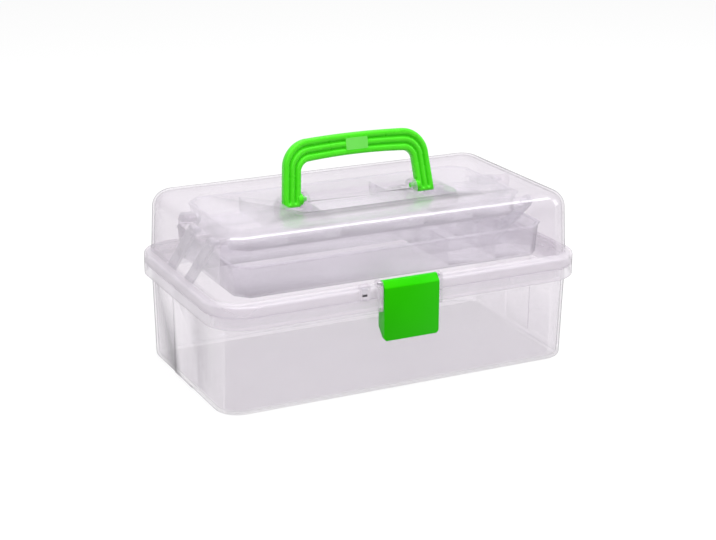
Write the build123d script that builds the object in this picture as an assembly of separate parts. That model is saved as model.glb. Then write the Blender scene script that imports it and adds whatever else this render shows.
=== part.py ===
from build123d import *
from math import cos, sin, radians
import os

# Compartment storage box. Millimetres, +Z up, +X along the length, the latch faces -Y.
# The origin is the centre of the tub's flat bottom.

# Driving dimensions
RIM_X = 165.0            # half length over the rim band
RIM_Y = 96.0             # half depth over the rim band
RIM_R = 32.0             # plan corner of the rim band
HEIGHT = 144.6           # closed height of the two shells
SEAM = 83.85             # height of the seam between the two rim bands
SEAM_GAP = 0.3
WALL = 2.0               # shell wall
TUB_X = 157.5            # half length at the tub's bottom
TUB_Y = 84.6             # half depth at the tub's bottom
TUB_TOP_X = 158.6        # half length at the tub's lip
TUB_TOP_Y = 87.3         # half depth at the tub's lip
LIP_TOP = 90.4           # top of the tub's lip, under the lid's shoulder
SKIRT_LOW = 73.5         # lower edge of the tub's skirt
SHOULDER = 92.8          # top of the lid's rim band
LID_X = 158.3            # half length of the lid wall at the shoulder
LID_Y = 86.9             # half depth of the lid wall at the shoulder
LID_TOP_X = 156.2        # half length at the lid's top
LID_TOP_Y = 84.6         # half depth at the lid's top
LID_ROUND = 14.0         # radius round the lid's top edge
CORNER_R = 20.5          # plan corner of both shells

# Handle, its pocket and its ears
POCKET_X = 74.5
POCKET_FRONT = -43.0
POCKET_BACK = 12.0
POCKET_R = 16.0
POCKET_DEPTH = 4.0
PIT_DEPTH = 12.0
PIT_IN = 47.6            # inner side of each deep end of the pocket
HANDLE_PIVOT_Z = 142.7
HANDLE_FOOT_Z = 136.7
HANDLE_HALF = 69.6       # half width over the feet
HANDLE_LEAN = 0.099      # how far each leg leans in, per mm of height
HANDLE_LEG = 15.4        # width of a leg
HANDLE_BAR = 18.0        # height of the bar
HANDLE_HIGH = 55.8       # foot to top of bar
HANDLE_THICK = 8.0
HANDLE_TILT = 10.7       # degrees that the bar stands back
HANDLE_CROWN = 2.4       # rise of the bar's top at its middle
PAD_HALF = 9.9           # half length of the bare pad on the bar
EAR_R = 7.6
HANDLE_PIN_R = 2.4

# Latch
LATCH_MID = -2.6         # the latch stands a little left of the middle
LATCH_HALF = 24.4
LATCH_PIN_Y = -94.4
LATCH_PIN_Z = 95.5
LATCH_BARREL = 2.3
LATCH_FRONT = -101.0
LATCH_THICK = 2.6
LATCH_SLOPE_Z = 92.4     # where the latch's top starts to slope back
LATCH_SLOPE_Y = -96.2    # where that slope ends
LATCH_LOW = 48.6
LATCH_BACK = -90.0       # how far the latch's cheeks and ledge reach
CHEEK_CUT = 8.0          # height of the slanted cut at each cheek's foot
LATCH_PIN_R = 1.1
LUG_GAP = 0.4            # side gap between the latch and each lug
LUG_WIDE = 3.4
LUG_FRONT = -99.4

# Lid hinge
HINGE_Y = 100.2
HINGE_Z = 83.0
KNUCKLE_R = 3.6
HINGE_PIN_R = 1.6
HINGE_X = 92.0           # middle of each hinge
KNUCKLE_LONG = 14.0
KNUCKLE_GAP = 0.4

# Trays
LOW_X = 140.0
LOW_FRONT = -72.0
LOW_BACK = 69.5
LOW_Z0 = 90.0
LOW_Z1 = 116.0
UP_X = 132.0
UP_FRONT = -48.5
UP_BACK = 62.0
UP_Z0 = 120.0
UP_Z1 = 137.0
TRAY_WALL = 1.5
TRAY_CORNER = 12.0

# Arms, links and their pivots
ARM_LONG = 78.2          # base pivot to upper tray pivot
ARM_ANGLE = 41.72        # degrees above level when the box is closed
ARM_IN = 143.0           # inner face of each arm
ARM_THICK = 3.0
ARM_HALF = 5.0           # half width of an arm
PIVOT_Z = 74.0           # height of the arm pivots on the tub
PIVOT_FRONT = 26.0
PIVOT_REAR = 66.0
PIVOT_R = 2.4
HOLE_R = 2.5
BOSS_R = 4.6
SIDE_GAP = 0.3           # side play of each arm and link
HEAD_R = 4.2
HEAD_THICK = 1.4
LINK_TRAY_Y = 43.75
LINK_TRAY_Z = 126.54
LINK_LID_Y = 13.69
LINK_LID_Z = 134.0
LINK_IN = 137.2
LINK_THICK = 2.6
LINK_HALF = 4.4
LINK_PIN_R = 2.1
LINK_HOLE_R = 2.2
LINK_SLACK_R = 3.0       # open hole at the tray end of each link


def rounded(half_x, half_y, radius, z):
    """A rounded rectangle about the Z axis at height z."""
    return Plane.XY.offset(z) * RectangleRounded(2 * half_x, 2 * half_y, radius)


def tapered(z0, x0, y0, z1, x1, y1, radius):
    """A drafted block between two rounded rectangles."""
    return loft([rounded(x0, y0, radius, z0), rounded(x1, y1, radius, z1)])


def block(x0, x1, y0, y1, z0, z1):
    """A box from its six faces."""
    centre = ((x0 + x1) / 2, (y0 + y1) / 2, (z0 + z1) / 2)
    return Pos(*centre) * Box(abs(x1 - x0), abs(y1 - y0), abs(z1 - z0))


def rod(x0, x1, y, z, radius):
    """A cylinder along X."""
    return Pos((x0 + x1) / 2, y, z) * Rot(0, 90, 0) * Cylinder(radius, abs(x1 - x0))


def at_height(edges, z):
    """The edges whose middle lies at height z."""
    return [e for e in edges if abs(e.center().Z - z) < 0.05 and abs(e.bounding_box().size.Z) < 0.05]


def both(shape):
    """A shape and its mirror across the middle of the length."""
    return [shape, mirror(shape, Plane.YZ)]


def arm_point(y, share):
    """Where a point of an arm lies, from its base pivot at depth y."""
    reach = ARM_LONG * share
    return y - reach * cos(radians(ARM_ANGLE)), PIVOT_Z + reach * sin(radians(ARM_ANGLE))


def base_tub():
    """Tub with floor, lip, flange, skirt, end pilasters, hinge knuckles and arm bosses."""
    shell = tapered(0, TUB_X, TUB_Y, LIP_TOP, TUB_TOP_X, TUB_TOP_Y, CORNER_R)
    shell = fillet(at_height(shell.edges(), 0), 3.2)
    band = extrude(rounded(RIM_X, RIM_Y, RIM_R, SKIRT_LOW), SEAM - SEAM_GAP / 2 - SKIRT_LOW)
    band = fillet(at_height(band.edges(), SKIRT_LOW), 0.8)
    under = extrude(rounded(RIM_X - WALL, RIM_Y - WALL, RIM_R - WALL, SKIRT_LOW - 1), 9.2)
    tub = shell + (band - under)
    for side in (-1, 1):
        tub += block(side * 150, side * (TUB_X + 1.6), -19, 19, 3, SKIRT_LOW - 4)
    inside = tapered(2.4, TUB_X - WALL, TUB_Y - WALL, LIP_TOP + 0.1,
                     TUB_TOP_X - WALL, TUB_TOP_Y - WALL, CORNER_R - WALL)
    inside = fillet(at_height(inside.edges(), 2.4), 2.4)
    tub -= inside
    for depth in (PIVOT_FRONT, PIVOT_REAR):
        seat = ARM_IN + ARM_THICK + SIDE_GAP
        boss = rod(seat, TUB_X, depth, PIVOT_Z, BOSS_R)
        bore = rod(seat, seat + 5, depth, PIVOT_Z, PIVOT_R)
        for piece, hole in zip(both(boss), both(bore)):
            tub = tub + piece - hole
    for middle in (-HINGE_X, HINGE_X):
        for step in (-1, 1):
            place = middle + step * (KNUCKLE_LONG + KNUCKLE_GAP)
            x0, x1 = place - KNUCKLE_LONG / 2, place + KNUCKLE_LONG / 2
            web = block(x0, x1, RIM_Y - 1, HINGE_Y + KNUCKLE_R, 77.5, SEAM - SEAM_GAP / 2)
            web = chamfer(web.edges().filter_by(Axis.X).sort_by(Axis.Y)[-2:].sort_by(Axis.Z)[0:1], 4)
            tub += web + rod(x0, x1, HINGE_Y, HINGE_Z, KNUCKLE_R)
        tub -= rod(middle - 24, middle + 24, HINGE_Y, HINGE_Z, HINGE_PIN_R)
    for x0, x1 in latch_lugs():
        tub += block(x0, x1, LUG_FRONT, -RIM_Y + 1, SKIRT_LOW, SEAM - SEAM_GAP / 2)
    return tub


def latch_lugs():
    """Where the lugs beside the latch start and end along X."""
    near = LATCH_HALF + LUG_GAP
    far = near + LUG_WIDE
    return [(LATCH_MID - far, LATCH_MID - near), (LATCH_MID + near, LATCH_MID + far)]


def lid_pocket(grow, shrink):
    """The handle pocket's space, grown for its outer wall."""
    mid_y = (POCKET_FRONT + POCKET_BACK) / 2
    half_y = (POCKET_BACK - POCKET_FRONT) / 2 + grow
    high = HEIGHT + shrink
    wide = Pos(0, mid_y, 0) * rounded(POCKET_X + grow, half_y, POCKET_R + grow, HEIGHT - POCKET_DEPTH - grow)
    space = extrude(wide, high - (HEIGHT - POCKET_DEPTH - grow))
    low = HEIGHT - PIT_DEPTH - grow
    deep = extrude(Pos(0, mid_y, 0) * rounded(POCKET_X + grow, half_y, POCKET_R + grow, low), high - low)
    for side in (-1, 1):
        space += deep & block(side * (PIT_IN - grow), side * (POCKET_X + 10), -90, 90, low, high)
    return space


def lid():
    """Upper shell with its rim band, handle pocket, ears, latch lugs, knuckles and link bosses."""
    shell = tapered(SHOULDER - WALL, LID_X, LID_Y, HEIGHT, LID_TOP_X, LID_TOP_Y, CORNER_R)
    shell = fillet(at_height(shell.edges(), HEIGHT), LID_ROUND)
    low = SEAM + SEAM_GAP / 2
    band = extrude(rounded(RIM_X, RIM_Y, RIM_R, low), SHOULDER - low)
    band = fillet(at_height(band.edges(), SHOULDER), 2.6)
    under = extrude(rounded(RIM_X - WALL, RIM_Y - WALL, RIM_R - WALL, low - 1), SHOULDER - 1.8 - low + 1)
    inside = tapered(SHOULDER - WALL - 0.5, LID_X - WALL, LID_Y - WALL, HEIGHT - WALL,
                     LID_TOP_X - WALL, LID_TOP_Y - WALL, CORNER_R - WALL)
    inside = fillet(at_height(inside.edges(), HEIGHT - WALL), LID_ROUND - WALL)
    top = shell + (band - under) - inside
    top = top + (lid_pocket(WALL, 0) & shell) - lid_pocket(0, 5)
    for side in (-1, 1):
        ear = rod(side * PIT_IN, side * (PIT_IN + 4), 0, HANDLE_PIVOT_Z - 1.8, EAR_R)
        foot = block(side * PIT_IN, side * (PIT_IN + 4), -EAR_R, EAR_R, HEIGHT - PIT_DEPTH - 0.5, HANDLE_PIVOT_Z - 1.8)
        hole = rod(side * (PIT_IN - 3), side * (PIT_IN + 5), 0, HANDLE_PIVOT_Z, HOLE_R)
        top = top + ear + foot - hole
        seat = LINK_IN + LINK_THICK + SIDE_GAP
        boss = rod(side * seat, side * 152.6, LINK_LID_Y, LINK_LID_Z, BOSS_R - 0.9)
        rib = block(side * 149, side * 156, LINK_LID_Y - 1, LINK_LID_Y + 1, LINK_LID_Z - 14, LINK_LID_Z + 2)
        top = top + boss + (rib & shell) - rod(side * seat, side * (seat + 5), LINK_LID_Y, LINK_LID_Z, LINK_PIN_R)
    for x0, x1 in latch_lugs():
        lug = block(x0, x1, LUG_FRONT, -90, low, LATCH_PIN_Z + LATCH_BARREL)
        top += fillet(lug.edges().filter_by(Axis.X).sort_by(Axis.Z)[-2:], 2.2)
    top -= rod(LATCH_MID - pin_reach(), LATCH_MID + pin_reach(), LATCH_PIN_Y, LATCH_PIN_Z, LATCH_PIN_R)
    catch = block(-46, -37.5, -97.2, -91, low, 95.6)
    top = top + fillet(catch.edges().filter_by(Axis.Z), 0.8) - block(-44.6, -40.2, -97.6, -95.2, 87, 88.8)
    for middle in (-HINGE_X, HINGE_X):
        x0, x1 = middle - KNUCKLE_LONG / 2, middle + KNUCKLE_LONG / 2
        web = block(x0, x1, RIM_Y - 1, HINGE_Y, low, SHOULDER - 3.2)
        neck = block(x0, x1, HINGE_Y - KNUCKLE_R, HINGE_Y, HINGE_Z, low + 0.1)
        top = top + web + neck + rod(x0, x1, HINGE_Y, HINGE_Z, KNUCKLE_R)
        top -= rod(middle - 24, middle + 24, HINGE_Y, HINGE_Z, HINGE_PIN_R + 0.08)
    return top


def arch(inset_x, inset_z, low):
    """The handle's arched outline in the XZ plane, inset from its outer edge."""
    top = HANDLE_FOOT_Z + HANDLE_HIGH - inset_z
    foot = HANDLE_HALF - inset_x + HANDLE_LEAN * (HANDLE_FOOT_Z - low)
    head = HANDLE_HALF - inset_x - HANDLE_LEAN * (top - HANDLE_CROWN - HANDLE_FOOT_Z)
    crown = ThreePointArc((-head, top - HANDLE_CROWN), (0, top), (head, top - HANDLE_CROWN))
    sides = Polyline((head, top - HANDLE_CROWN), (foot, low), (-foot, low), (-head, top - HANDLE_CROWN))
    face = make_face([crown, sides])
    upper = [v for v in face.vertices() if v.Y > top - HANDLE_CROWN - 1]
    return fillet(upper, max(20.0 - inset_x * 0.85, 6.0))


def handle():
    """Bail handle with ribbed face, bare pad and side pins, standing at its tilt."""
    front = Plane(origin=(0, 0, 0), x_dir=(1, 0, 0), z_dir=(0, -1, 0))
    outline = arch(0, 0, HANDLE_FOOT_Z) - arch(HANDLE_LEG, HANDLE_BAR, HANDLE_FOOT_Z - 10)
    body = extrude(front * outline, HANDLE_THICK / 2, both=True)
    rims = [e for e in body.edges() if abs(abs(e.center().Y) - HANDLE_THICK / 2) < 0.01]
    body = fillet(rims, 2.0)
    for share in (0.35, 0.60):
        ring = arch(HANDLE_LEG * share, HANDLE_BAR * share, HANDLE_FOOT_Z + 13)
        ring -= arch(HANDLE_LEG * (share + 0.07), HANDLE_BAR * (share + 0.07), HANDLE_FOOT_Z + 5)
        groove = extrude(front * ring, HANDLE_THICK, both=True)
        keep = block(-90, 90, -HANDLE_THICK / 2 + 0.9, HANDLE_THICK / 2 - 0.9, 120, 210)
        pad = block(-PAD_HALF, PAD_HALF, -20, 20, 150, 210)
        body -= groove - keep - pad
    for side in (-1, 1):
        body += rod(side * (PIT_IN + 4 + SIDE_GAP), side * (HANDLE_HALF - HANDLE_LEG + 2), 0, HANDLE_PIVOT_Z, 5.0)
        body += rod(side * (PIT_IN + 0.5), side * (PIT_IN + 8), 0, HANDLE_PIVOT_Z, HANDLE_PIN_R)
    return Pos(0, 0, HANDLE_PIVOT_Z) * Rot(-HANDLE_TILT, 0, 0) * Pos(0, 0, -HANDLE_PIVOT_Z) * body


def pin_reach():
    """Half the length of the latch's rod."""
    return LATCH_HALF + LUG_GAP + LUG_WIDE - 0.6


def latch():
    """Latch plate with its sloped top, barrel, ledge under the tub's skirt and two cheeks."""
    x0, x1 = LATCH_MID - LATCH_HALF, LATCH_MID + LATCH_HALF
    side_view = Plane(origin=(x0, 0, 0), x_dir=(0, 1, 0), z_dir=(1, 0, 0))
    back = LATCH_FRONT + LATCH_THICK
    crest = LATCH_PIN_Z + LATCH_BARREL
    section = Polyline((LATCH_FRONT, LATCH_LOW), (LATCH_FRONT, LATCH_SLOPE_Z), (LATCH_SLOPE_Y, crest),
                       (LATCH_PIN_Y, crest), (LATCH_PIN_Y, LATCH_PIN_Z), (back, 91.0),
                       (back, LATCH_LOW), (LATCH_FRONT, LATCH_LOW))
    face = make_face(section)
    face = fillet([v for v in face.vertices() if v.X < LATCH_SLOPE_Y + 0.1 and v.Y > LATCH_SLOPE_Z - 0.1], 2.2)
    plate = extrude(side_view * face, 2 * LATCH_HALF)
    corners = [e for e in plate.edges().filter_by(Axis.Y) if e.center().Z < LATCH_LOW + 0.1]
    plate = chamfer(corners, 2.0)
    plate += rod(x0, x1, LATCH_PIN_Y, LATCH_PIN_Z, LATCH_BARREL)
    plate += block(x0, x1, back - 0.5, LATCH_BACK, 70, SKIRT_LOW - SIDE_GAP)
    foot = LATCH_LOW + 2
    head = SKIRT_LOW - SIDE_GAP
    outline = Polyline((back - 0.5, foot), (back + 1, foot), (LATCH_BACK, foot + CHEEK_CUT), (LATCH_BACK, head),
                       (back - 0.5, head), (back - 0.5, foot))
    cheek = extrude(side_view * make_face(outline), 2)
    plate += cheek + Pos(2 * LATCH_HALF - 2, 0, 0) * cheek
    return plate - rod(x0 - 1, x1 + 1, LATCH_PIN_Y, LATCH_PIN_Z, LATCH_PIN_R + 0.08)


def tray(half_x, front, back, z0, z1):
    """An open tray with drafted walls, cut corners and a turned-out rim."""
    middle = (front + back) / 2
    deep = (back - front) / 2

    def plan(inset, z):
        sheet = Rectangle(2 * (half_x - inset), 2 * (deep - inset))
        sheet = chamfer(sheet.vertices(), TRAY_CORNER - inset * 0.6)
        return Plane.XY.offset(z) * Pos(0, middle) * sheet

    outer = loft([plan(3.0, z0), plan(1.2, z1)])
    rim = extrude(plan(0, z1 - 1.6), 1.6)
    inner = loft([plan(3.0 + TRAY_WALL, z0 + TRAY_WALL), plan(1.2 + TRAY_WALL, z1 + 0.1)])
    return outer + rim - inner


def with_pivots(shape, places, x_wall, x_seat, pin_r):
    """A tray with bosses and blind bores at its end walls."""
    for y, z in places:
        for side in (-1, 1):
            shape += rod(side * x_wall, side * x_seat, y, z, BOSS_R - 0.4)
            shape -= rod(side * (x_seat - 4.5), side * x_seat, y, z, pin_r)
    return shape


def lower_tray():
    """Lower tray: long lanes at the left, small compartments at the right."""
    shape = tray(LOW_X, LOW_FRONT, LOW_BACK, LOW_Z0, LOW_Z1)
    top = LOW_Z1 - 3
    shape += block(47.3, 48.7, LOW_FRONT + 2.6, LOW_BACK - 2.6, LOW_Z0 + 1, top)
    shape += block(92.3, 93.7, LOW_FRONT + 2.6, LOW_BACK - 2.6, LOW_Z0 + 1, top)
    for y in (-35.5, 0, 35.5):
        shape += block(48, LOW_X - 3.4, y - 0.7, y + 0.7, LOW_Z0 + 1, top)
    shape += block(-LOW_X + 3.4, 48, 9.3, 10.7, LOW_Z0 + 1, top)
    places = [arm_point(PIVOT_FRONT, 0.5), arm_point(PIVOT_REAR, 0.5)]
    return with_pivots(shape, places, LOW_X - 2.6, ARM_IN - SIDE_GAP, PIVOT_R)


def upper_tray():
    """Upper tray: its compartments leave room for the deep ends of the handle pocket."""
    shape = tray(UP_X, UP_FRONT, UP_BACK, UP_Z0, UP_Z1)
    top = UP_Z1 - 3.5
    for side in (-1, 1):
        shape += block(side * 37.3, side * 38.7, UP_FRONT + 2.6, UP_BACK - 2.6, UP_Z0 + 1, top)
        shape += block(side * 38, side * (UP_X - 3.2), 19.3, 20.7, UP_Z0 + 1, top)
        shape += block(side * 83.3, side * 84.7, UP_FRONT + 2.6, UP_BACK - 2.6, UP_Z0 + 1, top)
    places = [arm_point(PIVOT_FRONT, 1), arm_point(PIVOT_REAR, 1)]
    shape = with_pivots(shape, places, UP_X - 2.4, ARM_IN - SIDE_GAP, PIVOT_R)
    return with_pivots(shape, [(LINK_TRAY_Y, LINK_TRAY_Z)], UP_X - 2.4, LINK_IN - SIDE_GAP, LINK_PIN_R)


def bar_between(start, end, x0, thick, half, holes):
    """A flat bar with round ends in a plane of constant X, with its holes."""
    span = ((end[0] - start[0]) ** 2 + (end[1] - start[1]) ** 2) ** 0.5
    wall = Plane(origin=(x0, (start[0] + end[0]) / 2, (start[1] + end[1]) / 2),
                 x_dir=(0, (end[0] - start[0]) / span, (end[1] - start[1]) / span), z_dir=(1, 0, 0))
    bar = extrude(wall * SlotCenterToCenter(span, 2 * half), thick)
    for (y, z), radius in holes:
        bar -= rod(x0 - 1, x0 + thick + 1, y, z, radius)
    return bar


def arm(pivot_y):
    """The right-hand arm on the base pivot at this depth."""
    holes = [(arm_point(pivot_y, share), HOLE_R) for share in (0, 0.5, 1)]
    return bar_between((pivot_y, PIVOT_Z), arm_point(pivot_y, 1), ARM_IN, ARM_THICK, ARM_HALF, holes)


def lid_link():
    """The right-hand link from the lid to the upper tray, with an open hole at the tray."""
    lid_end = (LINK_LID_Y, LINK_LID_Z)
    tray_end = (LINK_TRAY_Y, LINK_TRAY_Z)
    holes = [(lid_end, LINK_HOLE_R), (tray_end, LINK_SLACK_R)]
    return bar_between(lid_end, tray_end, LINK_IN, LINK_THICK, LINK_HALF, holes)


def rivet(y, z, x_head, x_face, x_end, radius):
    """A push-in rivet along X: its head stands off the face that it holds."""
    return rod(x_head, x_face, y, z, HEAD_R) + rod(x_face, x_end, y, z, radius)


def hinge_pin(middle):
    """The rod of one lid hinge."""
    half = 1.5 * KNUCKLE_LONG + KNUCKLE_GAP
    return rod(middle - half, middle + half, HINGE_Y, HINGE_Z, HINGE_PIN_R)


def latch_pin():
    """The rod that the latch turns on."""
    return rod(LATCH_MID - pin_reach(), LATCH_MID + pin_reach(), LATCH_PIN_Y, LATCH_PIN_Z, LATCH_PIN_R)


def rivets():
    """The right-hand rivets, by name."""
    arm_out = ARM_IN + ARM_THICK + SIDE_GAP
    arm_in = ARM_IN - SIDE_GAP
    made = {}
    for name, depth in (("front", PIVOT_FRONT), ("rear", PIVOT_REAR)):
        made[f"base_rivet_{name}"] = rivet(depth, PIVOT_Z, arm_in - HEAD_THICK, arm_in, arm_out + 5, PIVOT_R)
        for tray_name, share in (("lower", 0.5), ("upper", 1)):
            y, z = arm_point(depth, share)
            made[f"{tray_name}_rivet_{name}"] = rivet(y, z, arm_out + HEAD_THICK, arm_out, arm_in - 4.5, PIVOT_R)
    link_in = LINK_IN - SIDE_GAP
    link_out = LINK_IN + LINK_THICK + SIDE_GAP
    made["link_rivet_lid"] = rivet(LINK_LID_Y, LINK_LID_Z, link_in - HEAD_THICK, link_in, link_out + 5, LINK_PIN_R)
    made["link_rivet_tray"] = rivet(LINK_TRAY_Y, LINK_TRAY_Z, link_out + HEAD_THICK, link_out, link_in - 4.5,
                                    LINK_PIN_R)
    return made


def main():
    os.makedirs("parts", exist_ok=True)
    parts = {
        "base_tub": base_tub(),
        "lid": lid(),
        "handle": handle(),
        "latch": latch(),
        "latch_pin": latch_pin(),
        "hinge_pin_left": hinge_pin(-HINGE_X),
        "hinge_pin_right": hinge_pin(HINGE_X),
        "lower_tray": lower_tray(),
        "upper_tray": upper_tray(),
    }
    pairs = {"front_arm": arm(PIVOT_FRONT), "rear_arm": arm(PIVOT_REAR), "lid_link": lid_link(), **rivets()}
    for name, right in pairs.items():
        parts[f"{name}_right"] = right
        parts[f"{name}_left"] = mirror(right, Plane.YZ)
    for name, shape in parts.items():
        export_step(shape, f"parts/{name}.step")


if __name__ == "__main__":
    main()
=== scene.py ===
"""Clear storage box with two tiered trays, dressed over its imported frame."""

from __future__ import annotations

import logging
import math
from dataclasses import dataclass
from enum import Enum
from typing import Callable, Sequence

import bmesh
import bpy
from mathutils import Matrix, Vector


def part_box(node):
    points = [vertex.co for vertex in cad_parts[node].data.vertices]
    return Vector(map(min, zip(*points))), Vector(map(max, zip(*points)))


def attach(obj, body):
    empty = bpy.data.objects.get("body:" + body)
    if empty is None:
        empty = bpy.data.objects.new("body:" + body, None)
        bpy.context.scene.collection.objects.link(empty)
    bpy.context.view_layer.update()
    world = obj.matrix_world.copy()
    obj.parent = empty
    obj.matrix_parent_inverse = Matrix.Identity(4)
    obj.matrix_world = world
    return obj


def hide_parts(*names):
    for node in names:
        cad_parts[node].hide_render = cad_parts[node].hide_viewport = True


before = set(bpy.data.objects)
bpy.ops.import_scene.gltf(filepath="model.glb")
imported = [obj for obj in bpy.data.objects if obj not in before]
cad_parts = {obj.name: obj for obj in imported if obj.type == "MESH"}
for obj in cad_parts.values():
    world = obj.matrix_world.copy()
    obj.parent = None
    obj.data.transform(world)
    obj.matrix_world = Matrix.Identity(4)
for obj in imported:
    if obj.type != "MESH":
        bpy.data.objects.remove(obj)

LOG = logging.getLogger("storage_box")

MM = 0.001
NOISE_SPAN = (0.3, 0.7)
WELD = 0.002 * MM
FINE_WELD = 0.0005 * MM
FLAT_TURN = 0.4
BEVEL_TURN = 40.0
HARD_TURN = 32.0
MADE_HARD_TURN = 38.0
BAIL_HARD_TURN = 42.0

Colour = tuple[float, float, float]


class Body(str, Enum):
    """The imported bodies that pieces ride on."""

    BASE = "base"
    LID = "lid"
    HANDLE = "handle"
    LATCH = "latch"
    LOWER_TRAY = "lower_tray"
    UPPER_TRAY = "upper_tray"
    FRONT_ARM_LEFT = "front_arm_left"
    FRONT_ARM_RIGHT = "front_arm_right"
    REAR_ARM_LEFT = "rear_arm_left"
    REAR_ARM_RIGHT = "rear_arm_right"
    LID_LINK_LEFT = "lid_link_left"
    LID_LINK_RIGHT = "lid_link_right"


class Slot(str, Enum):
    """The record's material slots."""

    SHELL = "clear_shell"
    TRAY = "clear_tray"
    GREEN = "green"
    NATURAL = "natural"
    STEEL = "steel"


class Side(Enum):
    """The two ends of the box along X."""

    LEFT = -1
    RIGHT = 1


# Finishes


class Sheet:
    """A material's node tree with short calls to add and link nodes."""

    def __init__(self, name: str) -> None:
        """Start an empty node material.

        Args:
            name: the material's name.
        """
        self.material = bpy.data.materials.new(name)
        self.material.use_nodes = True
        self.nodes = self.material.node_tree.nodes
        self.nodes.clear()
        self.output = self.add("ShaderNodeOutputMaterial")
        self.object_point = self.add("ShaderNodeTexCoord").outputs["Object"]

    def add(self, kind: str, **values: object) -> bpy.types.Node:
        """Add a node and set its input sockets.

        Args:
            kind: the node's Blender type.
            values: socket names, with _ for a space, and their values.

        Returns:
            The new node.
        """
        node = self.nodes.new(kind)
        for key, value in values.items():
            node.inputs[key.replace("_", " ")].default_value = value
        return node

    def link(self, source: bpy.types.NodeSocket, target: bpy.types.NodeSocket) -> None:
        """Link two sockets.

        Args:
            source: the output socket.
            target: the input socket.
        """
        self.material.node_tree.links.new(source, target)

    def noise(self, scale: float, detail: float = 2.0) -> bpy.types.NodeSocket:
        """Noise over the piece's own space.

        Args:
            scale: cells per metre.
            detail: octaves of finer noise.

        Returns:
            The noise value socket.
        """
        node = self.add("ShaderNodeTexNoise", Scale=scale, Detail=detail)
        self.link(self.object_point, node.inputs["Vector"])
        return node.outputs["Fac"]

    def spread(self, source: bpy.types.NodeSocket, low: float, high: float,
               start: float = 0.0, end: float = 1.0) -> bpy.types.NodeSocket:
        """Map a value from one range to another.

        Args:
            source: the value to map.
            low: result at the start of the range.
            high: result at the end of the range.
            start: where the range starts.
            end: where the range ends.

        Returns:
            The mapped value socket.
        """
        node = self.add("ShaderNodeMapRange", From_Min=start, From_Max=end, To_Min=low, To_Max=high)
        self.link(source, node.inputs["Value"])
        return node.outputs["Result"]

    def blend(self, factor: bpy.types.NodeSocket, first: bpy.types.NodeSocket,
              second: bpy.types.NodeSocket) -> bpy.types.NodeSocket:
        """Mix two shaders.

        Args:
            factor: the share of the second shader.
            first: the first shader.
            second: the second shader.

        Returns:
            The mixed shader socket.
        """
        node = self.add("ShaderNodeMixShader")
        self.link(factor, node.inputs[0])
        self.link(first, node.inputs[1])
        self.link(second, node.inputs[2])
        return node.outputs[0]

    def maths(self, operation: str, first: bpy.types.NodeSocket,
              second: bpy.types.NodeSocket) -> bpy.types.NodeSocket:
        """Work out one value from two, kept between 0 and 1.

        Args:
            operation: the Math node's operation.
            first: the first value.
            second: the second value.

        Returns:
            The result socket.
        """
        node = self.add("ShaderNodeMath")
        node.operation = operation
        node.use_clamp = True
        self.link(first, node.inputs[0])
        self.link(second, node.inputs[1])
        return node.outputs[0]

    def bump(self, height: bpy.types.NodeSocket, strength: float, distance: float) -> bpy.types.NodeSocket:
        """A bumped normal from a height.

        Args:
            height: the height value.
            strength: how much of the bump shows.
            distance: its depth in metres.

        Returns:
            The normal socket.
        """
        node = self.add("ShaderNodeBump", Strength=strength, Distance=distance)
        self.link(height, node.inputs["Height"])
        return node.outputs["Normal"]

    def finish(self, shader: bpy.types.NodeSocket) -> bpy.types.Material:
        """Link the shader to the material's output.

        Args:
            shader: the last shader.

        Returns:
            The finished material.
        """
        self.link(shader, self.output.inputs["Surface"])
        return self.material


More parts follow.
